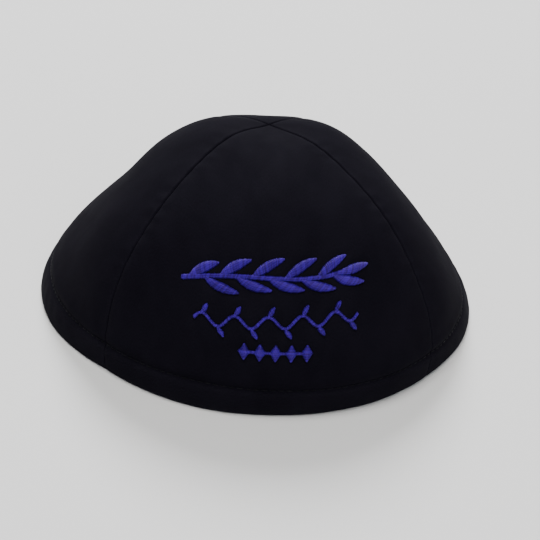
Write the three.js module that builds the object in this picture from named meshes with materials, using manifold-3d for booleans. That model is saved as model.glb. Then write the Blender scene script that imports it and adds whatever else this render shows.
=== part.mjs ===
// A four-panel skullcap of soft dark cloth with a stitched ornament on its front panel.
// Millimetres, +Z up. The origin lies on the surface that the cap rests on, under its crown point.
// The front panel faces -Y, and the cap's right-hand side, seen from the front, is at +X.
import * as THREE from "three";
import Module from "manifold-3d";

const wasm = await Module();
wasm.setup();

// Sizes of the cap
const rimRadius = 84;
const capHeight = 74;
const clothThickness = 2;
const hemHeight = 11.5;
const hemThickness = 3;
const hemFoldRadius = 0.8;
const hemLineDepth = 0.4;
const hemLineSpan = 1.3;
const seamGap = 0.3;
const seamDip = 0.8;
const seamRoll = 2.4;

// Sizes of the embroidery: lengths across the panel, and heights above the rim measured up the cloth
const threadGap = 0.3;
const threadHeight = 0.8;
const sprigLength = 68;
const sprigAboveRim = 57;
const sprigRise = 8;
const sprigSway = 1.6;
const stemWidth = 1.8;
const leafCount = 10;
const leafLength = 13;
const leafWidth = 3.8;
const leafAngle = 0.68;
const leafCurl = leafAngle / 3;
const leafTipShare = 0.12;
const leafFullness = 0.8;
const endLeafOverlap = 0.1;
const vineLength = 58;
const vineAboveRim = 41;
const vineRise = 3;
const vineWidth = 1.1;
const vineWaves = 5;
const vineSwing = 2.2;
const budLength = 4.2;
const budWidth = 1.9;
const budAngle = Math.PI / 3;
const lozengeCount = 5;
const lozengePitch = 5.4;
const lozengeAboveRim = 29.5;
const lozengeWidth = 4;
const lozengeHeight = 6.4;
const lozengeTipShare = 0.08;
const linkWidth = 1;

// Fineness of the faceted solids
const panelColumns = 12;
const domeRows = 14;
const leafStations = 8;
const wavePoints = 12;
const linkStations = 4;
const lozengeStations = 4;
const tiltPasses = 8;

// The dome's outer form. A row is a section from the crown down to the rim, every eighth of a turn round,
// starting at the front middle and going to the right. A column is a tilt from the vertical, every twelfth of
// a half turn. A value is the share of rimRadius and capHeight that the cloth reaches there, 1 at the crown.
const domeSections = [
  { side: "front", top: 1.05, shoulder: 1.07, upper: 1.08, middle: 1.075, lower: 1.05, rim: 1.01 },
  { side: "front right", top: 1.04, shoulder: 1.035, upper: 1.04, middle: 1.04, lower: 1.04, rim: 1.005 },
  { side: "right", top: 1.03, shoulder: 0.97, upper: 0.915, middle: 0.91, lower: 0.96, rim: 1.05 },
  { side: "back right", top: 0.99, shoulder: 0.935, upper: 0.89, middle: 0.895, lower: 0.945, rim: 1.025 },
  { side: "back", top: 0.96, shoulder: 0.93, upper: 0.915, middle: 0.925, lower: 0.96, rim: 1.02 },
  { side: "back left", top: 0.985, shoulder: 0.94, upper: 0.89, middle: 0.895, lower: 0.95, rim: 1.04 },
  { side: "left", top: 1.03, shoulder: 0.985, upper: 0.93, middle: 0.93, lower: 0.975, rim: 1.045 },
  { side: "front left", top: 1.05, shoulder: 1.05, upper: 1.045, middle: 1.035, lower: 1.01, rim: 0.99 },
];
const tiltColumns = ["top", "shoulder", "upper", "middle", "lower", "rim"];
const tiltStep = Math.PI / 2 / tiltColumns.length;
const turnStep = (2 * Math.PI) / domeSections.length;

// The four panels, each a quarter of the cap, by the turn of their middles from the front
const panels = [
  { name: "front_panel", middle: 0 },
  { name: "right_panel", middle: Math.PI / 2 },
  { name: "back_panel", middle: Math.PI },
  { name: "left_panel", middle: (3 * Math.PI) / 2 },
];
const panelHalfTurn = Math.PI / 4;

const cloth = new THREE.MeshStandardMaterial({ color: 0x0b0b10, roughness: 0.9, metalness: 0 });
const thread = new THREE.MeshStandardMaterial({ color: 0x2e2aa0, roughness: 0.55, metalness: 0 });

// Catmull-Rom blend between the middle two of four neighbouring values
function blend(before, from, to, after, part) {
  const slope = 2 * before - 5 * from + 4 * to - after;
  const bend = 3 * (from - to) + after - before;
  return from + 0.5 * part * (to - before + part * (slope + part * bend));
}

// The share at a number of steps down from the crown, which runs on evenly above the crown and below the rim
function sectionShare(section, steps) {
  if (steps === 0) return 1;
  if (steps > tiltColumns.length) return 2 * section.rim - section.lower;
  return section[tiltColumns[Math.abs(steps) - 1]];
}

function domeShare(turn, tilt) {
  const row = Math.floor(turn / turnStep);
  const steps = Math.min(Math.floor(tilt / tiltStep), tiltColumns.length - 1);
  const pastStep = tilt / tiltStep - steps;
  const shares = [-1, 0, 1, 2].map((shift) => {
    const section = domeSections.at((row + shift) % domeSections.length);
    const near = [-1, 0, 1, 2].map((more) => sectionShare(section, steps + more));
    return blend(...near, pastStep);
  });
  return blend(...shares, turn / turnStep - row);
}

// A point of the dome, a depth in from its outer face. Turn counts round from the front, and tilt down from
// the crown.
function domePoint(turn, tilt, depth) {
  const share = domeShare(turn, tilt);
  const radius = (rimRadius * share - depth) * Math.sin(tilt);
  const height = (capHeight * share - depth) * Math.cos(tilt);
  return new THREE.Vector3(radius * Math.sin(turn), -radius * Math.cos(turn), height);
}

function tiltAtHeight(turn, height) {
  let tilt = Math.PI / 2;
  for (let pass = 0; pass < tiltPasses; pass += 1) {
    tilt = Math.acos(height / (capHeight * domeShare(turn, tilt)));
  }
  return tilt;
}

function closedGeometry(points, faces) {
  const geometry = new THREE.BufferGeometry();
  const numbers = points.flatMap((point) => point.toArray());
  geometry.setAttribute("position", new THREE.Float32BufferAttribute(numbers, 3));
  geometry.setIndex(faces.flat());
  geometry.computeVertexNormals();
  return geometry;
}

// The rows of one panel's wall, from the crown down the outer face, under the hem's fold and up the inner
// face. Each gives its tilt at a turn and its depth in from the dome, a distance away from the nearest seam.
function wallRows() {
  const hemTop = hemHeight + 2 * hemLineSpan;
  const domeTilt = (index) => (turn) => (tiltAtHeight(turn, hemTop) * index) / domeRows;
  const heightTilt = (height) => (turn) => tiltAtHeight(turn, height);
  const sunk = (depth) => (fromSeam) => depth + seamDip * Math.max(0, 1 - fromSeam / seamRoll) ** 2;
  const flat = (depth) => () => depth;
  const foldSlant = hemFoldRadius * (1 - Math.SQRT1_2);
  const outer = [];
  const inner = [];
  for (let index = 1; index <= domeRows; index += 1) {
    outer.push({ tilt: domeTilt(index), depth: sunk(0) });
    inner.push({ tilt: domeTilt(index), depth: flat(clothThickness) });
  }
  const hemRows = [
    { height: hemHeight + hemLineSpan, sink: 0, wall: clothThickness },
    { height: hemHeight, sink: hemLineDepth, wall: clothThickness },
    { height: hemHeight - hemLineSpan, sink: 0, wall: hemThickness },
    { height: (hemHeight + hemFoldRadius) / 2, sink: 0, wall: hemThickness },
    { height: hemFoldRadius, sink: 0, wall: hemThickness },
    { height: foldSlant, sink: foldSlant, wall: hemThickness - foldSlant },
    { height: 0, sink: hemFoldRadius, wall: hemThickness - hemFoldRadius },
  ];
  for (const row of hemRows) {
    outer.push({ tilt: heightTilt(row.height), depth: sunk(row.sink) });
    inner.push({ tilt: heightTilt(row.height), depth: flat(row.wall) });
  }
  return [...outer, ...inner.reverse()];
}

// One panel: a quarter of the cap's wall between two upright seam planes, running to a point at the crown
function panelGeometry(middle) {
  const rows = wallRows();
  const tipRadius = seamGap / 2 / Math.sin(panelHalfTurn);
  const tipTilt = Math.asin(tipRadius / rimRadius);
  const edgeSteps = [0, seamRoll / 4, seamRoll / 2, seamRoll];
  const points = [];
  const faces = [];
  const seamTurn = middle + panelHalfTurn;
  const outerRows = rows.length / 2;
  const columns = panelColumns + 2 * (edgeSteps.length - 1);
  const fromEdge = (column, radius, halfTurn) => {
    const nearest = Math.min(column, columns - column);
    const lastStep = edgeSteps.length - 1;
    const even = Math.min(nearest, lastStep) / (lastStep + 1);
    const rolled = Math.min(edgeSteps[Math.min(nearest, lastStep)] / radius, (even * halfTurn) / 2);
    if (nearest <= lastStep) return rolled;
    return rolled + ((halfTurn - rolled) * (nearest - lastStep)) / (panelColumns / 2);
  };
  for (let column = 0; column <= columns; column += 1) {
    for (const row of rows) {
      const radius = rimRadius * domeShare(seamTurn, row.tilt(seamTurn)) * Math.sin(row.tilt(seamTurn));
      const halfTurn = panelHalfTurn - Math.asin(seamGap / 2 / radius);
      const inward = fromEdge(column, radius, halfTurn);
      const turn = middle + (column * 2 < columns ? inward - halfTurn : halfTurn - inward);
      points.push(domePoint(turn, row.tilt(turn), row.depth(inward * radius)));
    }
  }
  const at = (column, row) => column * rows.length + row;
  for (let column = 0; column < columns; column += 1) {
    for (let row = 0; row < rows.length - 1; row += 1) {
      faces.push([at(column, row), at(column, row + 1), at(column + 1, row)]);
      faces.push([at(column + 1, row), at(column, row + 1), at(column + 1, row + 1)]);
    }
  }
  const outerTip = points.push(domePoint(middle, tipTilt, seamDip)) - 1;
  const innerTip = points.push(domePoint(middle, tipTilt, clothThickness)) - 1;
  const last = rows.length - 1;
  for (let column = 0; column < columns; column += 1) {
    faces.push([outerTip, at(column, 0), at(column + 1, 0)]);
    faces.push([innerTip, at(column + 1, last), at(column, last)]);
  }
  faces.push([outerTip, innerTip, at(0, 0)], [at(0, 0), innerTip, at(0, last)]);
  faces.push([outerTip, at(columns, 0), innerTip], [at(columns, 0), at(columns, last), innerTip]);
  for (let row = 0; row < outerRows - 1; row += 1) {
    const across = last - row;
    faces.push([at(0, row), at(0, across), at(0, row + 1)]);
    faces.push([at(columns, row), at(columns, row + 1), at(columns, across)]);
    faces.push([at(0, row + 1), at(0, across), at(0, across - 1)]);
    faces.push([at(columns, row + 1), at(columns, across - 1), at(columns, across)]);
  }
  return closedGeometry(points, faces);
}

// How far the middle of the front panel's cloth lies from the origin
const frontReach = domePoint(0, Math.PI / 3, 0).length();

// A point over the front panel: across to the right from its middle, up the cloth from the rim, and lifted
function overFront(across, up, lift) {
  const tilt = Math.PI / 2 - up / frontReach;
  const turn = across / -domePoint(0, tilt, 0).y;
  const reach = 0.01;
  const here = domePoint(turn, tilt, 0);
  const right = domePoint(turn + reach, tilt, 0).sub(here);
  const down = domePoint(turn, tilt + reach, 0).sub(here);
  return here.addScaledVector(down.cross(right).normalize(), lift);
}

// A satin stroke: a low crowned bar over the front panel along stations of { across, up, half width }
function strokeSolid(stations) {
  const profile = [
    { side: -1, rise: 0 },
    { side: -0.6, rise: 0.8 },
    { side: 0, rise: 1 },
    { side: 0.6, rise: 0.8 },
    { side: 1, rise: 0 },
  ];
  const points = [];
  const faces = [];
  const count = profile.length;
  stations.forEach((station, index) => {
    const next = stations[Math.min(index + 1, stations.length - 1)];
    const previous = stations[Math.max(index - 1, 0)];
    const course = new THREE.Vector2(next.across - previous.across, next.up - previous.up).normalize();
    for (const corner of profile) {
      const aside = corner.side * station.half;
      const across = station.across - course.y * aside;
      const up = station.up + course.x * aside;
      points.push(overFront(across, up, threadGap + corner.rise * threadHeight));
    }
  });
  for (let index = 0; index < stations.length - 1; index += 1) {
    for (let corner = 0; corner < count; corner += 1) {
      const here = index * count + corner;
      const beside = index * count + ((corner + 1) % count);
      faces.push([here, here + count, beside], [beside, here + count, beside + count]);
    }
  }
  const end = (stations.length - 1) * count;
  for (let corner = 1; corner < count - 1; corner += 1) {
    faces.push([0, corner, corner + 1]);
    faces.push([end, end + corner + 1, end + corner]);
  }
  const vertProperties = new Float32Array(points.flatMap((p) => p.toArray()));
  const triVerts = new Uint32Array(faces.flat());
  return new wasm.Manifold(new wasm.Mesh({ numProp: 3, vertProperties, triVerts }));
}

function joinedGeometry(strokes) {
  const joined = strokes.map(strokeSolid).reduce((sum, stroke) => sum.add(stroke));
  const mesh = joined.getMesh();
  const geometry = new THREE.BufferGeometry();
  geometry.setAttribute("position", new THREE.Float32BufferAttribute(mesh.vertProperties, 3));
  geometry.setIndex(Array.from(mesh.triVerts));
  geometry.computeVertexNormals();
  return geometry;
}

// A leaf from a root point: narrow at both ends, fullest in its middle, and bending a little back to its stem
function leafStroke(root, angle, length, width, bend) {
  const stations = [];
  for (let index = 0; index <= leafStations; index += 1) {
    const part = index / leafStations;
    const heading = angle - bend * part;
    stations.push({
      across: root.across + length * part * Math.cos(heading),
      up: root.up + length * part * Math.sin(heading),
      half: (width / 2) * (leafTipShare + (1 - leafTipShare) * Math.sin(Math.PI * part) ** leafFullness),
    });
  }
  return stations;
}

function sprigStem(part) {
  return {
    across: sprigLength * (part - 0.5),
    up: sprigAboveRim + sprigRise * (part - 0.5) + sprigSway * Math.sin(2 * Math.PI * part),
    half: stemWidth / 2,
  };
}

// The upper row: a leafy sprig that rises gently to the right, with its leaves set left and right in turn
function sprigStrokes() {
  const stemShare = 1 - ((1 - endLeafOverlap) * leafLength) / sprigLength;
  const stemPoints = 2 * leafCount;
  const stem = [];
  for (let index = 0; index <= stemPoints; index += 1) {
    stem.push(sprigStem((stemShare * index) / stemPoints));
  }
  const strokes = [stem];
  const slope = Math.atan2(sprigRise, sprigLength);
  for (let index = 0; index < leafCount; index += 1) {
    const side = index % 2 === 0 ? 1 : -1;
    const root = sprigStem((stemShare * (index + 0.5)) / leafCount);
    strokes.push(leafStroke(root, slope + side * leafAngle, leafLength, leafWidth, side * leafCurl));
  }
  const endLeafRoot = sprigStem(1 - leafLength / sprigLength);
  strokes.push(leafStroke(endLeafRoot, slope, leafLength, leafWidth, 0));
  return strokes;
}

// The middle row: a thin wavy line with a small bud on the outside of each bend
function vineStrokes() {
  const vinePoint = (part) => ({
    across: vineLength * (part - 0.5),
    up: vineAboveRim + vineRise * (part - 0.5) + vineSwing * Math.sin(2 * Math.PI * vineWaves * part),
    half: vineWidth / 2,
  });
  const line = [];
  const linePoints = vineWaves * wavePoints;
  for (let index = 0; index <= linePoints; index += 1) line.push(vinePoint(index / linePoints));
  const strokes = [line];
  for (let bendIndex = 0; bendIndex < 2 * vineWaves; bendIndex += 1) {
    const side = bendIndex % 2 === 0 ? 1 : -1;
    const root = vinePoint((bendIndex + 0.5) / (2 * vineWaves));
    strokes.push(leafStroke(root, side * budAngle, budLength, budWidth, 0));
  }
  return strokes;
}

// The lower row: small upright diamonds on a thin level line
function lozengeStrokes() {
  const rowLength = lozengePitch * (lozengeCount - 1);
  const link = [];
  for (let index = 0; index <= linkStations; index += 1) {
    const across = rowLength * (index / linkStations - 0.5);
    link.push({ across, up: lozengeAboveRim, half: linkWidth / 2 });
  }
  const strokes = [link];
  for (let index = 0; index < lozengeCount; index += 1) {
    const across = lozengePitch * index - rowLength / 2;
    const lozenge = [];
    for (let station = 0; station <= lozengeStations; station += 1) {
      const part = (2 * station) / lozengeStations - 1;
      const narrowing = 1 - (1 - lozengeTipShare) * Math.abs(part);
      lozenge.push({
        across,
        up: lozengeAboveRim + (lozengeHeight / 2) * part,
        half: (lozengeWidth / 2) * narrowing,
      });
    }
    strokes.push(lozenge);
  }
  return strokes;
}

const cap = new THREE.Group();

function addPiece(name, geometry, material) {
  const mesh = new THREE.Mesh(geometry, material);
  mesh.name = name;
  cap.add(mesh);
}

for (const panel of panels) addPiece(panel.name, panelGeometry(panel.middle), cloth);
addPiece("embroidered_sprig", joinedGeometry(sprigStrokes()), thread);
addPiece("embroidered_vine", joinedGeometry(vineStrokes()), thread);
addPiece("embroidered_lozenges", joinedGeometry(lozengeStrokes()), thread);

export default cap;
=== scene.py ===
"""A dark four-panel skullcap of brushed cloth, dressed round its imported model.

The frame is in metres, +Z up, and the front panel faces -Y. Sizes below are in millimetres and become metres
where the meshes are made.
"""
import math

import bpy
import numpy as np
from mathutils import Matrix, Quaternion, Vector


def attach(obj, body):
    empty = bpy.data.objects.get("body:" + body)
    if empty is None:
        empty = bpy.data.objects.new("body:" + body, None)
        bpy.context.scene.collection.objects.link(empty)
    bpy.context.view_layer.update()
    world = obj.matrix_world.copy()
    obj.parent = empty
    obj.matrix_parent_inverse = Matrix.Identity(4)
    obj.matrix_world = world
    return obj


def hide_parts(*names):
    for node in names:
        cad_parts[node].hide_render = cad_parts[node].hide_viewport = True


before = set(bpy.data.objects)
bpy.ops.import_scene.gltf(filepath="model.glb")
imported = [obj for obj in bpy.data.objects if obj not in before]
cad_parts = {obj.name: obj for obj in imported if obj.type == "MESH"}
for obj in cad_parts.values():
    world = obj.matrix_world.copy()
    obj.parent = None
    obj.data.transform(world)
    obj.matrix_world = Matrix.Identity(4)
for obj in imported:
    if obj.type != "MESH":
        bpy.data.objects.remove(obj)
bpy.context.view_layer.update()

MM = 0.001

# Sizes of the cap, as the frame has them
RIM_RADIUS = 84.0
CAP_HEIGHT = 74.0
CLOTH_THICKNESS = 2.0
HEM_HEIGHT = 11.5
HEM_THICKNESS = 3.0

# The dome's outer form: a section every eighth of a turn from the front middle to the right, and a column
# every twelfth of a half turn down from the crown. A value is the share of RIM_RADIUS and CAP_HEIGHT there.
DOME_COLUMNS = ("crown", "top", "shoulder", "upper", "middle", "lower", "rim")
DOME_SECTIONS = {
    "front": (1, 1.05, 1.07, 1.08, 1.075, 1.05, 1.01),
    "front right": (1, 1.04, 1.035, 1.04, 1.04, 1.04, 1.005),
    "right": (1, 1.03, 0.97, 0.915, 0.91, 0.96, 1.05),
    "back right": (1, 0.99, 0.935, 0.89, 0.895, 0.945, 1.025),
    "back": (1, 0.96, 0.93, 0.915, 0.925, 0.96, 1.02),
    "back left": (1, 0.985, 0.94, 0.89, 0.895, 0.95, 1.04),
    "left": (1, 1.03, 0.985, 0.93, 0.93, 0.975, 1.045),
    "front left": (1, 1.05, 1.05, 1.045, 1.035, 1.01, 0.99),
}
HALF_PANEL = math.pi / 4
PANELS = {"front_panel": 0.0, "right_panel": math.pi / 2, "back_panel": math.pi, "left_panel": 1.5 * math.pi}
TILT_PASSES = 8
SLOPE_STEP = 1e-3

# Camera, found from the photograph: where it stands round the cap, and how it is framed
CAMERA_TURN = math.radians(-6.23)
CAMERA_ELEVATION = math.radians(30.0)
CAMERA_ROLL = math.radians(4.67)
CAMERA_DISTANCE = 480.0
CAMERA_ASIDE = 4.94
CAMERA_AIM_HEIGHT = 10.2
FOCAL_IN_IMAGE_WIDTHS = 1173.5 / 540
SENSOR_WIDTH = 36.0
NEAREST_SHOWN = 0.01

# The studio, in metres and watts
FLOOR_HALF_SIZE = 15.0
FLOOR_COLOUR = (0.60, 0.595, 0.585, 1)
FLOOR_ROUGHNESS = 0.9
SKY_COLOUR = (0.93, 0.95, 1.0, 1)
SKY_STRENGTH = 0.3
LIGHT_AIM = Vector((0, 0, 0.03))
LIGHTS = {
    "key_light": {"place": (-0.3, -0.4, 3.3), "size": 1.7, "power": 115, "colour": (1.0, 0.99, 0.97)},
    "fill_light": {"place": (0.6, -2.6, 1.5), "size": 1.8, "power": 42, "colour": (0.95, 0.97, 1.0)},
    "back_light": {"place": (0.0, 2.6, 2.4), "size": 1.5, "power": 235, "colour": (0.96, 0.97, 1.0)},
}


def make_camera():
    data = bpy.data.cameras.new("photo_camera")
    data.sensor_width = SENSOR_WIDTH
    data.lens = SENSOR_WIDTH * FOCAL_IN_IMAGE_WIDTHS
    data.clip_start = NEAREST_SHOWN
    camera = bpy.data.objects.new("photo_camera", data)
    bpy.context.scene.collection.objects.link(camera)
    right = Vector((math.cos(CAMERA_TURN), math.sin(CAMERA_TURN), 0))
    level = Vector((math.sin(CAMERA_TURN), -math.cos(CAMERA_TURN), 0))
    back = level * math.cos(CAMERA_ELEVATION) + Vector((0, 0, math.sin(CAMERA_ELEVATION)))
    aim = (right * CAMERA_ASIDE + Vector((0, 0, CAMERA_AIM_HEIGHT))) * MM
    facing = back.to_track_quat("Z", "Y") @ Quaternion((0, 0, 1), CAMERA_ROLL)
    camera.matrix_world = Matrix.Translation(aim + back * CAMERA_DISTANCE * MM) @ facing.to_matrix().to_4x4()
    bpy.context.scene.camera = camera


def make_floor():
    size = FLOOR_HALF_SIZE
    mesh = bpy.data.meshes.new("floor")
    corners = [(-size, -size, 0), (size, -size, 0), (size, size, 0), (-size, size, 0)]
    mesh.from_pydata(corners, [], [(0, 1, 2, 3)])
    floor = bpy.data.objects.new("floor", mesh)
    bpy.context.scene.collection.objects.link(floor)
    material = bpy.data.materials.new("floor_paint")
    material.use_nodes = True
    shader = material.node_tree.nodes["Principled BSDF"]
    shader.inputs["Base Color"].default_value = FLOOR_COLOUR
    shader.inputs["Roughness"].default_value = FLOOR_ROUGHNESS
    mesh.materials.append(material)


def make_light(name, place, size, power, colour):
    data = bpy.data.lights.new(name, "AREA")
    data.shape = "DISK"
    data.size = size
    data.energy = power
    data.color = colour
    light = bpy.data.objects.new(name, data)
    bpy.context.scene.collection.objects.link(light)
    light.location = Vector(place)
    light.rotation_mode = "QUATERNION"
    light.rotation_quaternion = (light.location - LIGHT_AIM).to_track_quat("Z", "Y")


def make_studio():
    for name, light in LIGHTS.items():
        make_light(name, **light)
    world = bpy.data.worlds.new("studio")
    world.use_nodes = True
    sky = world.node_tree.nodes["Background"]
    sky.inputs["Color"].default_value = SKY_COLOUR
    sky.inputs["Strength"].default_value = SKY_STRENGTH
    bpy.context.scene.world = world


def blend(before, start, end, after, part):
    """Catmull-Rom blend between the middle two of four neighbouring values."""
    slope = 2 * before - 5 * start + 4 * end - after
    bend = 3 * (start - end) + after - before
    return start + 0.5 * part * (end - before + part * (slope + part * bend))


def share_table():
    """The sections with one column added above the crown and one below the rim."""
    table = np.array(list(DOME_SECTIONS.values()), float)
    above = table[:, 1:2]
    below = 2 * table[:, -1:] - table[:, -2:-1]
    return np.hstack([above, table, below])


SHARES = share_table()


def dome_share(turn, tilt):
    along_turn = turn / (2 * math.pi / len(SHARES))
    row = np.floor(along_turn).astype(int)
    along_tilt = tilt / (math.pi / 2 / (len(DOME_COLUMNS) - 1))
    column = np.clip(np.floor(along_tilt).astype(int), 0, len(DOME_COLUMNS) - 2)
    near = []
    for shift in (-1, 0, 1, 2):
        section = (row + shift) % len(SHARES)
        values = [SHARES[section, column + step] for step in (0, 1, 2, 3)]
        near.append(blend(*values, along_tilt - column))
    return blend(*near, along_turn - row)


def dome_point(turn, tilt):
    """Points of the dome's outer face: turn counts round from the front, tilt down from the crown."""
    share = dome_share(turn, tilt)
    radius = RIM_RADIUS * share * np.sin(tilt)
    height = CAP_HEIGHT * share * np.cos(tilt)
    return np.stack([radius * np.sin(turn), -radius * np.cos(turn), height], -1)


def dome_normal(turn, tilt):
    steep = np.clip(tilt, 2 * SLOPE_STEP, math.pi / 2)
    right = dome_point(turn + SLOPE_STEP, steep) - dome_point(turn - SLOPE_STEP, steep)
    down = dome_point(turn, steep + SLOPE_STEP) - dome_point(turn, steep - SLOPE_STEP)
    normal = np.cross(down, right)
    return normal / np.linalg.norm(normal, axis=-1, keepdims=True)


def tilt_at_height(turn, height):
    tilt = np.full_like(turn, math.pi / 2)
    for _ in range(TILT_PASSES):
        tilt = np.arccos(height / (CAP_HEIGHT * dome_share(turn, tilt)))
    return tilt


# Sizes of the seams, in millimetres: the edges roll in, and the cloth sinks and puckers beside them
CLOTH_FULLNESS = 0.3
SEAM_GAP = 0.02
SEAM_ROLL = 1.0
SEAM_ROLL_AT_HEM = 0.5
SEAM_ROLL_FULL_HEIGHT = 65.0
SEAM_SINK = 0.42
SEAM_SINK_REACH = 3.5
PUCKER_DEPTH = 0.1
PUCKER_PITCH = 7.3
PUCKER_DRIFT = 1.4
PUCKER_DRIFT_REACH = 4.9
PUCKER_START = 2.3
PUCKER_FROM_SEAM = 2.2
PUCKER_SPREAD = 3.2
PUCKER_FADE_RADII = (6.0, 28.0)

# Sizes of the hem: it swells below a groove that its stitches sit in, and the cloth lips out above
HEM_PUFF = 0.5
HEM_PUFF_SHAPE = 0.6
HEM_GROOVE = 0.4
HEM_GROOVE_WIDTH = 1.3
HEM_LIP = 0.3
HEM_LIP_ABOVE = 3.0
HEM_LIP_SPREAD = 2.2
HEM_RIPPLE = 0.06
HEM_RIPPLE_PITCH = 9.0
HEM_RIPPLE_SLANT = 0.35
HEM_RIPPLE_DRIFT = 0.13
FOLD_HEIGHT = 1.3
UPRIGHT_ABOVE_HEM = 8.0
SHORTEST_LEVEL = 1e-6
STITCH_PITCH = 2.8
STITCH_DIMPLE = 0.12
STITCH_DIMPLE_SHARPNESS = 3
STITCHES_PER_PANEL = round(2 * HALF_PANEL * RIM_RADIUS / STITCH_PITCH)

# Sizes of the inside: the turned-in hem, and the seam allowances pressed open
HEM_INNER_HEIGHT = HEM_HEIGHT + 1.6
HEM_INNER_EDGE = 0.4
HEM_INNER_GROOVE = 0.35
SEAM_ALLOWANCE = 6.7
SEAM_ALLOWANCE_SLOPE = 0.7
SEAM_ALLOWANCE_THICKNESS = 0.6
SEAM_ALLOWANCE_DRIFT = 0.35
SEAM_ALLOWANCE_DRIFT_PITCH = 10.0936
SHARE_PRESSED_IN_HEM = 0.5
INNER_SEAM_SINK = 0.7
INNER_SEAM_REACH = 0.7

# How rubbed the cloth is, from 0 to 1, and how far the wear reaches, in millimetres. The paler edges this
# paints are partly real wear and partly painted sheen: a light line beside the seams, a light band below the
# hem line, and a lighter hem and fold.
SEAM_WEAR_AND_SHEEN = 0.25
HEM_LIP_WEAR_AND_SHEEN = 0.25
HEM_WEAR_AND_SHEEN = 0.4
INNER_FOLD_WEAR = 0.3
EDGE_WEAR_AND_SHEEN_SPREAD = 0.9
HEM_LIP_WEAR_AND_SHEEN_BELOW = 1.6
HEM_WEAR_AND_SHEEN_EDGE = 3.0
FOLD_PALING_REACH = 2.2

# How finely a panel's mesh is divided: rows of points, and columns in millimetres that narrow to the seams
DOME_ROWS = 170
INNER_ROW_STEP = 3
HEM_ROWS = 38
HEM_ROWS_FROM = HEM_HEIGHT + 5.0
FOLD_ROWS = 14
FOLD_FULLNESS = 1.25
CROWN_TIP = 0.5
FINEST_COLUMN = 0.12
WIDEST_COLUMN = 0.62
COLUMN_GROWTH = 1.1
TIP_REACH = 1.5
TIP_BELOW = 0.05
FACE_OFFSET = 500.0

# Slow waves in the cloth: direction, wavelength, height and start
CLOTH_WAVES = (
    {"way": (1.0, 0.3, 0.4), "length": 71.0, "height": 0.28, "start": 0.4},
    {"way": (-0.4, 1.0, 0.7), "length": 53.0, "height": 0.24, "start": 2.1},
    {"way": (0.5, -0.6, 1.0), "length": 38.0, "height": 0.16, "start": 4.0},
    {"way": (-1.0, -0.5, 0.6), "length": 23.0, "height": 0.07, "start": 1.2},
)


def smooth_step(low, high, value):
    part = np.clip((value - low) / (high - low), 0, 1)
    return part * part * (3 - 2 * part)


def bell(offset, spread):
    return np.exp(-((offset / spread) ** 2))


def cloth_waves(points):
    total = np.zeros(points.shape[:-1])
    for wave in CLOTH_WAVES:
        way = np.array(wave["way"]) / np.linalg.norm(wave["way"])
        total += wave["height"] * np.sin(points @ way * (2 * math.pi / wave["length"]) + wave["start"])
    return total


def stitch_phase(turn, middle):
    """How far a point is along its stitch, 0 and 1 at the needle's holes."""
    return (turn - middle + HALF_PANEL) / (2 * HALF_PANEL) * STITCHES_PER_PANEL % 1


def seam_distance(turn, middle, points):
    """How far points lie from the nearer of their panel's two seams."""
    radius = np.hypot(points[..., 0], points[..., 1])
    return radius * np.sin(np.clip(HALF_PANEL - np.abs(turn - middle), 0, None))


def seam_lift(turn, tilt, middle, points):
    """How far the cloth is drawn in at its seams: rolled edges, a soft sink and puckers."""
    from_seam = seam_distance(turn, middle, points)
    upper = smooth_step(HEM_HEIGHT, SEAM_ROLL_FULL_HEIGHT, points[..., 2])
    size = SEAM_ROLL_AT_HEM + (SEAM_ROLL - SEAM_ROLL_AT_HEM) * upper
    roll = np.clip(size - from_seam, 0, size)
    rolled_in = size - np.sqrt(size**2 - roll**2)
    sunk = SEAM_SINK * np.exp(-from_seam / SEAM_SINK_REACH)
    along = RIM_RADIUS * tilt
    seam_number = middle / HALF_PANEL + np.where(turn > middle, 1, -1)
    drift = PUCKER_DRIFT * np.sin(along / PUCKER_DRIFT_REACH + seam_number)
    swing = np.sin(2 * math.pi * along / PUCKER_PITCH + drift + PUCKER_START * seam_number)
    away = smooth_step(*PUCKER_FADE_RADII, np.hypot(points[..., 0], points[..., 1]))
    puckers = PUCKER_DEPTH * bell(from_seam - PUCKER_FROM_SEAM, PUCKER_SPREAD) * swing * away
    return puckers - rolled_in - sunk


def hem_lift(turn, middle, height):
    """How far the hem swells, ripples and sinks at its line of stitches, and the cloth lips out above it."""
    in_hem = np.sin(math.pi * np.clip(height / HEM_HEIGHT, 0, 1))
    swell = HEM_PUFF * in_hem**HEM_PUFF_SHAPE
    round_rim = 2 * math.pi * RIM_RADIUS * turn / HEM_RIPPLE_PITCH
    slanted = round_rim + HEM_RIPPLE_SLANT * height + np.sin(HEM_RIPPLE_DRIFT * round_rim)
    ripple = HEM_RIPPLE * in_hem * np.sin(slanted)
    hole = (0.5 + 0.5 * np.cos(2 * math.pi * stitch_phase(turn, middle))) ** STITCH_DIMPLE_SHARPNESS
    groove = bell(height - HEM_HEIGHT, HEM_GROOVE_WIDTH) * (HEM_GROOVE + STITCH_DIMPLE * hole)
    lip = HEM_LIP * bell(height - HEM_HEIGHT - HEM_LIP_ABOVE, HEM_LIP_SPREAD)
    return swell + ripple - groove + lip


def outer_lift(turn, tilt, middle, points):
    """How far the outer face stands off the plain dome."""
    lift = CLOTH_FULLNESS + cloth_waves(points) + seam_lift(turn, tilt, middle, points)
    lift += hem_lift(turn, middle, points[..., 2])
    if middle == PANELS["front_panel"]:
        lift -= embroidery_pull(turn, tilt)
    return lift


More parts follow.
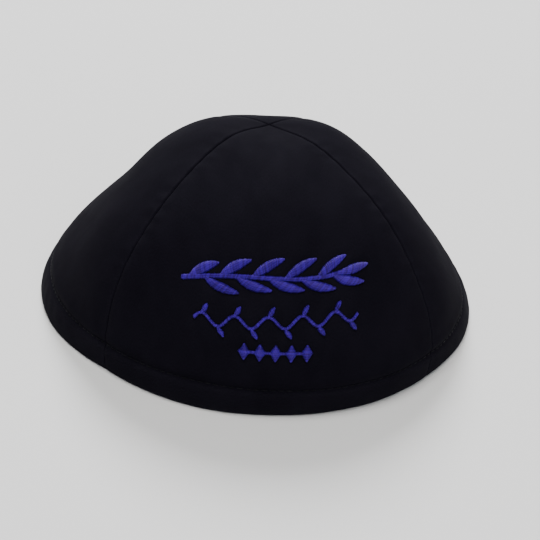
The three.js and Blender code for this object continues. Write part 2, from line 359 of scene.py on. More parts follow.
def inner_lift(turn, middle, points):
    """How far the inner face lies off the plain dome, which is less than none.

    The cloth is thicker where the hem is turned in and where the seam allowances are pressed open.
    """
    height = points[..., 2]
    from_seam = seam_distance(turn, middle, points)
    hem = 1 - smooth_step(HEM_INNER_HEIGHT - HEM_INNER_EDGE, HEM_INNER_HEIGHT + HEM_INNER_EDGE, height)
    drift = SEAM_ALLOWANCE_DRIFT * np.sin(2 * math.pi * height / SEAM_ALLOWANCE_DRIFT_PITCH + middle)
    allowance = 1 - smooth_step(SEAM_ALLOWANCE - SEAM_ALLOWANCE_SLOPE, SEAM_ALLOWANCE, from_seam + drift)
    thickness = CLOTH_THICKNESS + (HEM_THICKNESS - CLOTH_THICKNESS) * hem
    thickness += SEAM_ALLOWANCE_THICKNESS * allowance * (1 - SHARE_PRESSED_IN_HEM * hem)
    thickness -= INNER_SEAM_SINK * np.exp(-from_seam / INNER_SEAM_REACH)
    groove = HEM_INNER_GROOVE * bell(height - HEM_HEIGHT, HEM_GROOVE_WIDTH)
    return cloth_waves(points) - thickness + groove


def outward(turn, tilt, points):
    """The way that lifts point: along the dome's normal, but level in the hem, which keeps its height."""
    normal = dome_normal(turn, tilt)
    level = normal * np.array([1, 1, 0])
    level = level / np.maximum(np.linalg.norm(level, axis=-1, keepdims=True), SHORTEST_LEVEL)
    upright = smooth_step(HEM_HEIGHT, HEM_HEIGHT + UPRIGHT_ABOVE_HEM, points[..., 2])[..., None]
    mixed = normal * upright + level * (1 - upright)
    return mixed / np.linalg.norm(mixed, axis=-1, keepdims=True)


def column_places():
    """Where a panel's columns stand, from -1 at one seam to 1 at the other, finer towards the seams."""
    half_length = HALF_PANEL * RIM_RADIUS
    steps = []
    step = FINEST_COLUMN
    while sum(steps) < half_length:
        steps.append(step)
        step = min(step * COLUMN_GROWTH, WIDEST_COLUMN)
    places = np.concatenate([[0], np.cumsum(steps)])
    places = places / places[-1]
    left = places - 1
    return np.concatenate([left, -left[-2::-1]])


def wall_face(places, middle, tilts, lift):
    """Points of one face of a panel, in rows of tilts, with their turns and places on the plain dome."""
    radius = RIM_RADIUS * np.sin(tilts)
    reach = HALF_PANEL - np.arcsin(np.minimum(SEAM_GAP / np.maximum(radius, SEAM_GAP * 2), 1))
    turn = middle + places[None, :] * reach
    base = dome_point(turn, tilts)
    points = base + outward(turn, tilts, base) * lift(turn, tilts, base)[..., None]
    return points, turn, base


def cloth_place(turn, tilts, middle, base, face):
    """Millimetres across the cloth from the panel's middle, down it from the crown, and which face it is."""
    across = (turn - middle) * np.hypot(base[..., 0], base[..., 1])
    return np.stack([across, RIM_RADIUS * tilts, np.full_like(across, face * FACE_OFFSET)], -1)


def edge_wear_and_sheen(turn, middle, base):
    """How pale the outer face is painted, partly as rubbed wear and partly as painted sheen: on the seams'
    rolled edges, below the hem line and towards the fold.
    """
    height = base[..., 2]
    seam = SEAM_WEAR_AND_SHEEN * bell(seam_distance(turn, middle, base) - SEAM_ROLL, EDGE_WEAR_AND_SHEEN_SPREAD)
    lip = HEM_LIP_WEAR_AND_SHEEN * bell(height - HEM_HEIGHT + HEM_LIP_WEAR_AND_SHEEN_BELOW, EDGE_WEAR_AND_SHEEN_SPREAD)
    hem = HEM_WEAR_AND_SHEEN * (1 - smooth_step(HEM_HEIGHT - HEM_WEAR_AND_SHEEN_EDGE, HEM_HEIGHT, height))
    fold = np.exp(-height / FOLD_PALING_REACH)
    return np.clip(np.maximum(seam, lip) + hem + fold, 0, 1)


def panel_points(places, middle):
    """The panel's rows of points, from the crown down the outer face, round the fold and up the inner face.

    Also each point's place on the cloth, its wear with painted sheen, and the first row of the inner face.
    """
    turn = middle + places * HALF_PANEL
    end = tilt_at_height(turn, HEM_ROWS_FROM)
    parts = np.linspace(0, 1, DOME_ROWS)[:, None]
    first = CROWN_TIP / RIM_RADIUS
    dome = first + (end[None, :] - first) * parts
    heights = np.linspace(HEM_ROWS_FROM, FOLD_HEIGHT, HEM_ROWS)[1:]
    hem = np.stack([tilt_at_height(turn, height) for height in heights])
    outer_tilts = np.vstack([dome, hem])

    def outer(at, tilt, base):
        return outer_lift(at, tilt, middle, base)

    def inner(at, tilt, base):
        return inner_lift(at, middle, base)

    outer_points, outer_turn, outer_base = wall_face(places, middle, outer_tilts, outer)
    inner_tilts = np.vstack([hem[::-1], dome[::-INNER_ROW_STEP], dome[:1]])
    inner_points, inner_turn, inner_base = wall_face(places, middle, inner_tilts, inner)
    angles = np.linspace(0, math.pi, FOLD_ROWS + 2)[1:-1]
    centre = (outer_points[-1] + inner_points[0]) / 2
    arm = (outer_points[-1] - inner_points[0]) / 2
    fold = centre[None] + arm[None] * np.cos(angles)[:, None, None]
    fold[..., 2] = FOLD_HEIGHT * np.maximum(1 - FOLD_FULLNESS * np.sin(angles), 0)[:, None]
    outer_place = cloth_place(outer_turn, outer_tilts, middle, outer_base, 0)
    inner_place = cloth_place(inner_turn, inner_tilts, middle, inner_base, 1)
    fold_place = outer_place[-1] + angles[:, None, None] * HEM_THICKNESS / 2 * np.array([0, 1, 0])
    outer_wear_and_sheen = edge_wear_and_sheen(outer_turn, middle, outer_base)
    inner_wear = INNER_FOLD_WEAR * np.exp(-inner_base[..., 2] / FOLD_PALING_REACH)
    # The fold is painted fully pale, as worn edge and painted sheen; inside, near the fold, wear alone.
    wear_and_sheen = [outer_wear_and_sheen, np.ones(fold.shape[:2]), inner_wear]
    return {
        "rows": np.concatenate([outer_points, fold, inner_points]),
        "places": np.concatenate([outer_place, fold_place, inner_place]),
        "wear_and_sheen": np.concatenate(wear_and_sheen),
        "first_inner": len(outer_points) + FOLD_ROWS,
    }


def panel_mesh(middle):
    """Points, faces and values of one closed panel, and which of its faces show the cloth's back."""
    made = panel_points(column_places(), middle)
    rows = made["rows"]
    row_count, columns = rows.shape[:2]
    grid = np.arange(row_count * columns).reshape(row_count, columns)
    quads = np.stack([grid[:-1, :-1], grid[1:, :-1], grid[1:, 1:], grid[:-1, 1:]], -1).reshape(-1, 4)
    faces = quads.tolist()
    heights = rows[:-1, :-1, 2]
    inner = np.arange(row_count - 1)[:, None] >= made["first_inner"]
    back = (inner & (heights > HEM_INNER_HEIGHT)).ravel().tolist()
    tip_way = np.array([math.sin(middle), -math.cos(middle), 0]) * SEAM_GAP * TIP_REACH
    outer_tip = row_count * columns
    inner_tip = outer_tip + 1
    tips = [tip_way + (0, 0, rows[0][:, 2].min() - TIP_BELOW), tip_way + (0, 0, rows[-1][:, 2].mean())]
    points = np.vstack([rows.reshape(-1, 3), tips])
    for column in range(columns - 1):
        faces.append([outer_tip, grid[0, column], grid[0, column + 1]])
        faces.append([inner_tip, grid[-1, column + 1], grid[-1, column]])
        back += [False, True]
    for column, turned in ((0, False), (columns - 1, True)):
        loop = [outer_tip, inner_tip] + grid[::-1, column].tolist()
        faces.append(loop[::-1] if turned else loop)
        back.append(False)
    values = {
        "cloth_place": np.vstack([made["places"].reshape(-1, 3), np.zeros((2, 3))]),
        "edge_wear_and_sheen": np.concatenate([made["wear_and_sheen"].ravel(), [0, 0]]),
    }
    return points, faces, values, back


def make_mesh(name, points, faces, values, material, slot):
    """A smooth mesh from points in millimetres, with values for its material, riding on the body."""
    mesh = bpy.data.meshes.new(name)
    mesh.from_pydata((points * MM).tolist(), [], faces)
    mesh.materials.append(material)
    mesh.shade_smooth()
    for value_name, numbers in values.items():
        kind, key = ("FLOAT", "value") if numbers.ndim == 1 else ("FLOAT_VECTOR", "vector")
        attribute = mesh.attributes.new(value_name, kind, "POINT")
        attribute.data.foreach_set(key, numbers.astype(np.float32).ravel())
    mesh.update()
    piece = bpy.data.objects.new(name, mesh)
    bpy.context.scene.collection.objects.link(piece)
    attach(piece, "root")
    return piece


# Sizes of the embroidery, as the frame has them: lengths across the panel, and heights up the cloth
SPRIG_LENGTH = 68.0
SPRIG_ABOVE_RIM = 57.0
SPRIG_RISE = 8.0
SPRIG_SWAY = 1.6
STEM_WIDTH = 1.8
LEAF_COUNT = 10
LEAF_LENGTH = 13.0
LEAF_WIDTH = 3.8
LEAF_ANGLE = 0.68
LEAF_CURL = LEAF_ANGLE / 3
LEAF_TIP_SHARE = 0.12
LEAF_FULLNESS = 0.8
END_LEAF_OVERLAP = 0.1
VINE_LENGTH = 58.0
VINE_ABOVE_RIM = 41.0
VINE_RISE = 3.0
VINE_WIDTH = 1.1
VINE_WAVES = 5
VINE_SWING = 2.2
BUD_LENGTH = 4.2
BUD_WIDTH = 1.9
BUD_ANGLE = math.pi / 3
LOZENGE_COUNT = 5
LOZENGE_PITCH = 5.4
LOZENGE_ABOVE_RIM = 29.5
LOZENGE_WIDTH = 4.0
LOZENGE_HEIGHT = 6.4
LOZENGE_TIP_SHARE = 0.08
LINK_WIDTH = 1.0

# Points along the embroidery's lines
STEM_POINTS = 60
LEAF_POINTS = 25
VINE_POINTS_A_WAVE = 40
LINK_POINTS = 30
LOZENGE_POINTS = 21

# Sizes of the threads, in millimetres, and how much they differ from each other
THREAD_RADIUS = 0.2
THREAD_PITCH = 0.37
THREAD_SLANT = 0.42
THREAD_SIDES = 6
THREAD_POINTS = 9
THREAD_RISE = 0.78
THREAD_BITE = 0.2
THREAD_ARCH = (2.4, 0.8)
THREAD_THINNING = 0.25
THREAD_THINNING_SHARPNESS = 6
THREAD_WIDTH_SPREAD = (-0.05, 0.12)
THREAD_LEAN_SPREAD = 0.05
THREAD_LIFT_SPREAD = 0.03
FEWEST_THREADS = 3
LEAST_THREAD_FULLNESS = 0.35
THREAD_NUMBER_STEP = 1000
PADDING_SHARE = 0.78
PADDING_SECTION = {"side": (-1, -0.6, 0, 0.6, 1), "height": (0, 0.62, 0.8, 0.62, 0)}
LEAST_PADDING_FULLNESS = 0.3
STITCH_RADIUS = 0.18
STITCH_POINTS = 9
STITCH_SPAN = (0.06, 0.94)
STITCH_ARCH = 3
STITCH_STAND = 0.8
STITCH_BITE = 0.45

# How far the embroidery draws in the cloth round it, and where that is worked out
PULL_DEPTH = 0.3
PULL_REACH = 1.5
PULL_PATH_STEP = 2
PULLED_ASIDE = 12.0
PULLED_FROM = 15.0
PULLED_ABOVE = 20.0

# How far the front of the dome lies from the origin, which turns heights up the cloth into tilts
FRONT_MIDDLE_TILT = math.pi / 3
FRONT_REACH = np.linalg.norm(dome_point(np.zeros(1), np.full(1, FRONT_MIDDLE_TILT))[0])


def over_front(across, up, lift):
    """Points over the front panel: across from its middle, up the cloth from the rim, and lifted off it."""
    tilt = math.pi / 2 - up / FRONT_REACH
    turn = across / -dome_point(np.zeros_like(up), tilt)[..., 1]
    base = dome_point(turn, tilt)
    normal = dome_normal(turn, tilt)
    return base + normal * (lift + CLOTH_FULLNESS + cloth_waves(base))[..., None], normal


def embroidery_pull(turn, tilt):
    """How far the stitches draw the front panel's cloth in, beside and under them."""
    up = FRONT_REACH * (math.pi / 2 - tilt)
    across = turn * -dome_point(np.zeros_like(tilt), tilt)[..., 1]
    beside = np.abs(across) < SPRIG_LENGTH / 2 + PULLED_ASIDE
    close = beside & (up > PULLED_FROM) & (up < SPRIG_ABOVE_RIM + PULLED_ABOVE)
    spots = np.stack([across[close], up[close]], -1)
    distance = np.full(len(spots), np.inf)
    for path in sprig_strokes() + vine_strokes() + lozenge_strokes():
        line = path["line"][None, ::PULL_PATH_STEP]
        half = path["half"][None, ::PULL_PATH_STEP]
        apart = np.linalg.norm(spots[:, None] - line, axis=-1)
        distance = np.minimum(distance, (apart - half).min(axis=1))
    nearest = np.full(turn.shape, np.inf)
    nearest[close] = distance
    return PULL_DEPTH * bell(np.clip(nearest, 0, None), PULL_REACH)


def tube_mesh(centres, normals, radii, sides, first_number=0):
    """Closed round threads along rows of points: an array of threads, each an array of points."""
    tubes, count = centres.shape[:2]
    course = np.gradient(centres, axis=1)
    course /= np.linalg.norm(course, axis=-1, keepdims=True)
    aside = np.cross(course, normals)
    aside /= np.linalg.norm(aside, axis=-1, keepdims=True)
    above = np.cross(aside, course)
    angles = np.arange(sides) * 2 * math.pi / sides
    ring = aside[:, :, None] * np.cos(angles)[:, None] + above[:, :, None] * np.sin(angles)[:, None]
    points = centres[:, :, None] + ring * radii[..., None, None]
    index = np.arange(tubes * count * sides).reshape(tubes, count, sides)
    beside = np.roll(index, -1, axis=2)
    quads = np.stack([index[:, :-1], index[:, 1:], beside[:, 1:], beside[:, :-1]], -1).reshape(-1, 4)
    caps = index[:, 0, :].tolist() + index[:, -1, ::-1].tolist()
    steps = np.linalg.norm(np.diff(centres, axis=1), axis=-1)
    along = np.concatenate([np.zeros((tubes, 1)), np.cumsum(steps, axis=1)], axis=1)
    place = np.empty((tubes, count, sides, 3))
    place[..., 0] = np.cos(angles)
    place[..., 1] = np.sin(angles)
    place[..., 2] = along[..., None]
    number = np.broadcast_to(first_number + np.arange(tubes)[:, None, None], (tubes, count, sides))
    values = {"thread_place": place.reshape(-1, 3), "thread_number": number.ravel().astype(float)}
    return points.reshape(-1, 3), quads.tolist() + caps, values


def stroke(across, up, half):
    """A satin stroke's middle line and half widths, with the way it runs at each point."""
    line = np.stack([across, up], -1)
    course = np.gradient(line, axis=0)
    course /= np.linalg.norm(course, axis=-1, keepdims=True)
    return {"line": line, "half": half, "course": course}


def satin_threads(path, rise, slant, rng):
    """The threads laid side by side across one stroke: centres, normals and radii for tube_mesh."""
    line, half, course = path["line"], path["half"], path["course"]
    steps = np.linalg.norm(np.diff(line, axis=0), axis=1)
    along = np.concatenate([[0], np.cumsum(steps)])
    count = max(int(along[-1] / THREAD_PITCH), FEWEST_THREADS)
    places = (np.arange(count) + 0.5) / count * along[-1]

    def pick(values):
        return np.interp(places, along, values)

    centre = np.stack([pick(line[:, 0]), pick(line[:, 1])], -1)
    forward = np.stack([pick(course[:, 0]), pick(course[:, 1])], -1)
    left = np.stack([-forward[:, 1], forward[:, 0]], -1)
    width = pick(half) + rng.uniform(*THREAD_WIDTH_SPREAD, count)
    lean = slant + rng.uniform(-THREAD_LEAN_SPREAD, THREAD_LEAN_SPREAD, count)
    throw = left * np.cos(lean)[:, None] + forward * np.sin(lean)[:, None]
    side = np.linspace(-1, 1, THREAD_POINTS)
    spots = centre[:, None] + throw[:, None] * (side[None, :] * width[:, None])[..., None]
    fullness = np.clip(width / (LEAF_WIDTH / 2), LEAST_THREAD_FULLNESS, 1)
    arch = (1 - np.abs(side) ** THREAD_ARCH[0]) ** THREAD_ARCH[1]
    lift = -THREAD_BITE + (rise * fullness[:, None] + THREAD_BITE) * arch[None, :]
    lift += rng.uniform(-THREAD_LIFT_SPREAD, THREAD_LIFT_SPREAD, count)[:, None]
    centres, normals = over_front(spots[..., 0], spots[..., 1], lift)
    thinned = 1 - THREAD_THINNING * np.abs(side) ** THREAD_THINNING_SHARPNESS
    return centres, normals, THREAD_RADIUS * np.broadcast_to(thinned, lift.shape)


def padding(path, rise):
    """The closed low bar of padding under one stroke's threads."""
    line, course = path["line"], path["course"]
    half = path["half"] * PADDING_SHARE
    left = np.stack([-course[:, 1], course[:, 0]], -1)
    side = np.array(PADDING_SECTION["side"])
    height = np.array(PADDING_SECTION["height"])
    spots = line[:, None] + left[:, None] * (side[None, :] * half[:, None])[..., None]
    fullness = np.clip(path["half"] / (LEAF_WIDTH / 2), LEAST_PADDING_FULLNESS, 1)[:, None]
    lift = np.where(height > 0, height * rise * fullness, -THREAD_BITE)
    points, _ = over_front(spots[..., 0], spots[..., 1], lift)
    count, sides = lift.shape
    index = np.arange(count * sides).reshape(count, sides)
    beside = np.roll(index, -1, axis=1)
    quads = np.stack([index[:-1], index[1:], beside[1:], beside[:-1]], -1).reshape(-1, 4)
    faces = quads.tolist() + [index[0].tolist(), index[-1, ::-1].tolist()]
    values = {"thread_place": np.zeros((lift.size, 3)), "thread_number": np.zeros(lift.size)}
    return points.reshape(-1, 3), faces, values


def joined(parts):
    """Several lots of points, faces and values as one."""
    faces = []
    total = 0
    for part_points, part_faces, _ in parts:
        faces += [[corner + total for corner in face] for face in part_faces]
        total += len(part_points)
    names = parts[0][2].keys()
    values = {name: np.concatenate([part[2][name] for part in parts]) for name in names}
    return np.vstack([part[0] for part in parts]), faces, values


def embroidery(strokes, slant, seed):
    """Padded satin stitch along strokes, with a number for each thread that its material reads."""
    rng = np.random.default_rng(seed)
    parts = []
    for path in strokes:
        parts.append(padding(path, THREAD_RISE))
        threads = satin_threads(path, THREAD_RISE, slant, rng)
        parts.append(tube_mesh(*threads, THREAD_SIDES, THREAD_NUMBER_STEP * len(parts)))
    return joined(parts)


def leaf(root, angle, length, width, bend):
    part = np.linspace(0, 1, LEAF_POINTS)
    heading = angle - bend * part
    across = root[0] + length * part * np.cos(heading)
    up = root[1] + length * part * np.sin(heading)
    swell = LEAF_TIP_SHARE + (1 - LEAF_TIP_SHARE) * np.sin(math.pi * part) ** LEAF_FULLNESS
    return stroke(across, up, width / 2 * swell)


def sprig_line(part):
    across = SPRIG_LENGTH * (part - 0.5)
    up = SPRIG_ABOVE_RIM + SPRIG_RISE * (part - 0.5) + SPRIG_SWAY * np.sin(2 * math.pi * part)
    return across, up


def sprig_strokes():
    """The stem, leaves on alternate sides of it, and one leaf that goes on from its end."""
    stem_share = 1 - (1 - END_LEAF_OVERLAP) * LEAF_LENGTH / SPRIG_LENGTH
    slope = math.atan2(SPRIG_RISE, SPRIG_LENGTH)
    part = np.linspace(0, stem_share, STEM_POINTS)
    strokes = [stroke(*sprig_line(part), np.full(len(part), STEM_WIDTH / 2))]
    for number in range(LEAF_COUNT):
        side = 1 if number % 2 == 0 else -1
        root = sprig_line(stem_share * (number + 0.5) / LEAF_COUNT)
        angle = slope + side * LEAF_ANGLE
        strokes.append(leaf(root, angle, LEAF_LENGTH, LEAF_WIDTH, side * LEAF_CURL))
    end_root = sprig_line(1 - LEAF_LENGTH / SPRIG_LENGTH)
    strokes.append(leaf(end_root, slope, LEAF_LENGTH, LEAF_WIDTH, 0))
    return strokes


def vine_line(part):
    across = VINE_LENGTH * (part - 0.5)
    up = VINE_ABOVE_RIM + VINE_RISE * (part - 0.5) + VINE_SWING * np.sin(2 * math.pi * VINE_WAVES * part)
    return across, up


def vine_strokes():
    """The wavy line, and a bud in each of its bends."""
    part = np.linspace(0, 1, VINE_POINTS_A_WAVE * VINE_WAVES)
    strokes = [stroke(*vine_line(part), np.full(len(part), VINE_WIDTH / 2))]
    bends = 2 * VINE_WAVES
    for number in range(bends):
        side = 1 if number % 2 == 0 else -1
        root = vine_line((number + 0.5) / bends)
        strokes.append(leaf(root, side * BUD_ANGLE, BUD_LENGTH, BUD_WIDTH, 0))
    return strokes


def lozenge_strokes():
    """The level link, and the diamonds along it."""
    row_length = LOZENGE_PITCH * (LOZENGE_COUNT - 1)
    across = np.linspace(-row_length / 2, row_length / 2, LINK_POINTS)
    link = stroke(across, np.full_like(across, LOZENGE_ABOVE_RIM), np.full_like(across, LINK_WIDTH / 2))
    strokes = [link]
    part = np.linspace(-1, 1, LOZENGE_POINTS)
    up = LOZENGE_ABOVE_RIM + LOZENGE_HEIGHT / 2 * part
    half = LOZENGE_WIDTH / 2 * (1 - (1 - LOZENGE_TIP_SHARE) * np.abs(part))
    for number in range(LOZENGE_COUNT):
        middle = np.full_like(part, LOZENGE_PITCH * number - row_length / 2)
        strokes.append(stroke(middle, up, half))
    return strokes


def hem_stitches(inside):
    """One row of lockstitches round the hem: each thread dives into the cloth at both ends."""
    stitch_turn = 2 * HALF_PANEL / STITCHES_PER_PANEL
    along = np.linspace(*STITCH_SPAN, STITCH_POINTS)
    arch = 1 - np.abs(2 * along - 1) ** STITCH_ARCH
    above = STITCH_RADIUS * STITCH_STAND * arch - STITCH_BITE * (1 - arch)
    parts = []
    for middle in PANELS.values():
        start = middle - HALF_PANEL + stitch_turn * np.arange(STITCHES_PER_PANEL)
        turn = start[:, None] + along[None, :] * stitch_turn
        tilt = tilt_at_height(turn, HEM_HEIGHT)
        base = dome_point(turn, tilt)
        way = outward(turn, tilt, base)
        if inside:
            lift = inner_lift(turn, middle, base) - above
        else:
            lift = outer_lift(turn, tilt, middle, base) + above
        centres = base + way * lift[..., None]
        radii = np.full(lift.shape, STITCH_RADIUS)
        parts.append(tube_mesh(centres, way, radii, THREAD_SIDES))
    return joined(parts)


# The finishes. Colours are linear, and the values that a shader takes as they are have the shader's names
CLOTH_DEEP = (0.0027, 0.0023, 0.0041, 1)
CLOTH_PALE = (0.0051, 0.0044, 0.0076, 1)
# A paler colour for the edges: rubbed wear and painted sheen.
CLOTH_WORN_AND_SHEEN = (0.0112, 0.0102, 0.0148, 1)
CLOTH_FINISH = {
    "Specular IOR Level": 0.02,
    "Sheen Weight": 0.003,
    "Sheen Roughness": 0.45,
    "Sheen Tint": (0.82, 0.8, 1.0, 1),
}
BACK_DEEP = (0.012, 0.012, 0.015, 1)
BACK_PALE = (0.036, 0.036, 0.042, 1)
BACK_FINISH = {"Specular IOR Level": 0.05, "Sheen Weight": 0.03}
BLUE_THREAD = {
    "deep": (0.0075, 0.0014, 0.062, 1),
    "pale": (0.032, 0.0058, 0.25, 1),
    "finish": {"Specular IOR Level": 0.42, "Specular Tint": (0.5, 0.25, 1, 1)},
}
HEM_THREAD = {
    "deep": (0.0025, 0.0025, 0.0036, 1),
    "pale": (0.0055, 0.0055, 0.0075, 1),
    "finish": {"Specular IOR Level": 0.05, "Specular Tint": (1, 1, 1, 1)},
}

# Noise, with its lumps counted per millimetre. On the cloth they run across it, down it and through it
FIBRES = {"per_mm": (3.6, 1.3, 1.0), "detail": 3}
TUFTS = {"per_mm": (0.9, 0.6, 1.0), "detail": 2}
NAP_MARKS = {"per_mm": (0.07, 0.045, 1.0), "detail": 2, "distortion": 0.3}
THREAD_FUZZ = {"per_mm": (5.0, 5.0, 5.0), "detail": 2}
NOISE_ROUGHNESS = 0.6

# The back's weave, and the pitch of a thread's twist in millimetres
BACK_THREADS_PER_MM = 1.6
PLY_PITCH = 0.75

# Relief: how deep it is, and how strongly it shows
FIBRE_RELIEF = {"depth": 0.05 * MM, "strength": 0.6}
TUFT_RELIEF = {"depth": 0.08 * MM, "strength": 0.5}
NAP_MARK_RELIEF = {"depth": 0.05 * MM, "strength": 0.5}
WEAVE_RELIEF = {"depth": 0.08 * MM, "strength": 0.7}
PLY_RELIEF = {"depth": 0.03 * MM, "strength": 0.5}

# Shares in a tone, ranges of tone and noise that span a mix, and roughness from one end to the other
NAP_SHARE = 0.3
CLOTH_TONES = (0.36, 0.64)
WORN_AND_SHEEN_FIBRES = (0.4, 0.7)
NAP_RANGE = (0.35, 0.65)
CLOTH_ROUGHNESS = (0.92, 0.84)
WEAVE_SHARE = 0.4
WEAVE_TONES = (0.2, 0.9)
FUZZ_RANGE = (0.3, 0.7)
BACK_ROUGHNESS = (0.8, 0.95)
FUZZ_SHARE = 0.5
PLY_SHARE = 0.12
THREAD_TONES = (0.26, 0.74)
THREAD_ROUGHNESS = (0.34, 0.52)


def new_material(name):
    material = bpy.data.materials.new(name)
    material.use_nodes = True
    tree = material.node_tree
    return material, tree, tree.nodes["Principled BSDF"]


def add_node(tree, kind, inputs=None, **settings):
    """A shader node with its settings; each input is a value or another node's output."""
    made = tree.nodes.new(kind)
    for name, value in settings.items():
        setattr(made, name, value)
    for name, value in (inputs or {}).items():
        if isinstance(value, bpy.types.NodeSocket):
            tree.links.new(value, made.inputs[name])
        else:
            made.inputs[name].default_value = value
    return made


def read_value(tree, name, output="Fac"):
    return add_node(tree, "ShaderNodeAttribute", attribute_name=name).outputs[output]


def maths(tree, operation, first, second=0.0):
    return add_node(tree, "ShaderNodeMath", {0: first, 1: second}, operation=operation).outputs[0]


def noise(tree, place, per_mm, detail, distortion=0.0):
    """Noise from 0 to 1, mostly near a half, with so many lumps to the millimetre each way."""
    scaled = add_node(tree, "ShaderNodeVectorMath", {0: place, 1: per_mm}, operation="MULTIPLY").outputs[0]
    inputs = {"Vector": scaled, "Scale": 1.0, "Detail": detail, "Roughness": NOISE_ROUGHNESS}
    inputs["Distortion"] = distortion
    return add_node(tree, "ShaderNodeTexNoise", inputs).outputs["Fac"]


def spread(tree, value, old_range, new_range=(0, 1)):
    inputs = {"Value": value}
    inputs["From Min"], inputs["From Max"] = old_range
    inputs["To Min"], inputs["To Max"] = new_range
    return add_node(tree, "ShaderNodeMapRange", inputs).outputs["Result"]


def mix_values(tree, first, second, second_share):
    """One value made of two: the second's share, and the rest from the first."""
    from_first = maths(tree, "MULTIPLY", first, 1 - second_share)
    from_second = maths(tree, "MULTIPLY", second, second_share)
    return maths(tree, "ADD", from_first, from_second)


def mix_colours(tree, part, first, second):
    made = add_node(tree, "ShaderNodeMix", {0: part}, data_type="RGBA")
    for socket, value in ((made.inputs[6], first), (made.inputs[7], second)):
        if isinstance(value, bpy.types.NodeSocket):
            tree.links.new(value, socket)
        else:
            socket.default_value = value
    return made.outputs[2]


def bump(tree, height, depth, strength, under=None):
    inputs = {"Height": height, "Distance": depth, "Strength": strength}
    if under is not None:
        inputs["Normal"] = under
    return add_node(tree, "ShaderNodeBump", inputs).outputs["Normal"]


def set_finish(tree, shader, colour, roughness, normal, values):
    tree.links.new(colour, shader.inputs["Base Color"])
    tree.links.new(roughness, shader.inputs["Roughness"])
    tree.links.new(normal, shader.inputs["Normal"])
    for name, value in values.items():
        shader.inputs[name].default_value = value


def make_cloth():
    """Brushed cloth, near black: fibres that run down the panels, tufts, soft marks, and paler edges that
    are partly worn and partly painted sheen.
    """
    material, tree, shader = new_material("dark_cloth")
    place = read_value(tree, "cloth_place", "Vector")
    fibres = noise(tree, place, **FIBRES)
    tufts = noise(tree, place, **TUFTS)
    nap_marks = noise(tree, place, **NAP_MARKS)
    tone = mix_values(tree, fibres, nap_marks, NAP_SHARE)
    shade = mix_colours(tree, spread(tree, tone, CLOTH_TONES), CLOTH_DEEP, CLOTH_PALE)
    # Paler edges from the mesh's values: partly rubbed wear, partly painted sheen on the seams, hem line,
    # hem and fold.
    rubbed_and_sheen = maths(tree, "MULTIPLY", read_value(tree, "edge_wear_and_sheen"), spread(tree, fibres, WORN_AND_SHEEN_FIBRES))
    colour = mix_colours(tree, rubbed_and_sheen, shade, CLOTH_WORN_AND_SHEEN)
    roughness = spread(tree, nap_marks, NAP_RANGE, CLOTH_ROUGHNESS)
    normal = bump(tree, nap_marks, **NAP_MARK_RELIEF)
    normal = bump(tree, tufts, **TUFT_RELIEF, under=normal)
    normal = bump(tree, fibres, **FIBRE_RELIEF, under=normal)
    set_finish(tree, shader, colour, roughness, normal, CLOTH_FINISH)
    return material


def make_cloth_back():
    """The same cloth's unbrushed back: a plain weave with a little fuzz."""
    material, tree, shader = new_material("dark_cloth_back")
    place = read_value(tree, "cloth_place", "Vector")
    parts = add_node(tree, "ShaderNodeSeparateXYZ", {0: place})
    turns = 2 * math.pi * BACK_THREADS_PER_MM
    warp = maths(tree, "SINE", maths(tree, "MULTIPLY", parts.outputs["X"], turns))
    weft = maths(tree, "SINE", maths(tree, "MULTIPLY", parts.outputs["Y"], turns))
    weave = maths(tree, "MULTIPLY", warp, weft)
    fuzz = noise(tree, place, **FIBRES)
    height = maths(tree, "ADD", maths(tree, "MULTIPLY", weave, WEAVE_SHARE), fuzz)
    colour = mix_colours(tree, spread(tree, height, WEAVE_TONES), BACK_DEEP, BACK_PALE)
    roughness = spread(tree, fuzz, FUZZ_RANGE, BACK_ROUGHNESS)
    normal = bump(tree, height, **WEAVE_RELIEF)
    set_finish(tree, shader, colour, roughness, normal, BACK_FINISH)
    return material


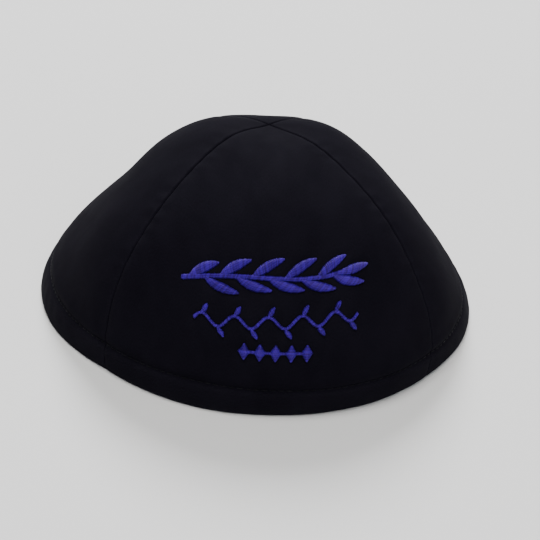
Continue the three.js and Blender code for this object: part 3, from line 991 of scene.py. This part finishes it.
def make_thread(name, deep, pale, finish):
    """Twisted thread: each thread has its own tone, and its plies wind round it."""
    material, tree, shader = new_material(name)
    place = read_value(tree, "thread_place", "Vector")
    number = read_value(tree, "thread_number")
    own = add_node(tree, "ShaderNodeTexWhiteNoise", {"W": number}, noise_dimensions="1D").outputs["Value"]
    parts = add_node(tree, "ShaderNodeSeparateXYZ", {0: place})
    wound = maths(tree, "MULTIPLY", parts.outputs["Z"], 2 * math.pi / PLY_PITCH)
    ply_x = maths(tree, "MULTIPLY", maths(tree, "SINE", wound), parts.outputs["X"])
    ply_y = maths(tree, "MULTIPLY", maths(tree, "COSINE", wound), parts.outputs["Y"])
    ply = maths(tree, "ADD", ply_x, ply_y)
    where = add_node(tree, "ShaderNodeTexCoord").outputs["Object"]
    in_mm = add_node(tree, "ShaderNodeVectorMath", {0: where, "Scale": 1 / MM}, operation="SCALE").outputs[0]
    fuzz = noise(tree, in_mm, **THREAD_FUZZ)
    tone = mix_values(tree, own, fuzz, FUZZ_SHARE)
    tone = maths(tree, "ADD", tone, maths(tree, "MULTIPLY", ply, PLY_SHARE))
    colour = mix_colours(tree, spread(tree, tone, THREAD_TONES), deep, pale)
    roughness = spread(tree, fuzz, FUZZ_RANGE, THREAD_ROUGHNESS)
    normal = bump(tree, ply, **PLY_RELIEF)
    set_finish(tree, shader, colour, roughness, normal, finish)
    return material


def make_cap():
    cloth = make_cloth()
    back = make_cloth_back()
    blue_thread = make_thread("blue_thread", **BLUE_THREAD)
    hem_thread = make_thread("dark_thread", **HEM_THREAD)
    for name, middle in PANELS.items():
        points, faces, values, shows_back = panel_mesh(middle)
        piece = make_mesh(name + "_cloth", points, faces, values, cloth, "dark_cloth")
        piece.data.materials.append(back)
        piece.data.polygons.foreach_set("material_index", np.array(shows_back, dtype=np.int32))
        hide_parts(name)
    rows = {
        "embroidered_sprig": {"strokes": sprig_strokes(), "slant": THREAD_SLANT, "seed": 3},
        "embroidered_vine": {"strokes": vine_strokes(), "slant": THREAD_SLANT, "seed": 5},
        "embroidered_lozenges": {"strokes": lozenge_strokes(), "slant": 0.0, "seed": 7},
    }
    for name, row in rows.items():
        piece = make_mesh(name + "_threads", *embroidery(**row), blue_thread, "blue_thread")
        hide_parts(name)
    make_mesh("hem_topstitch", *hem_stitches(False), hem_thread, "dark_cloth")
    make_mesh("hem_understitch", *hem_stitches(True), hem_thread, "dark_cloth")


make_camera()
make_floor()
make_studio()
make_cap()
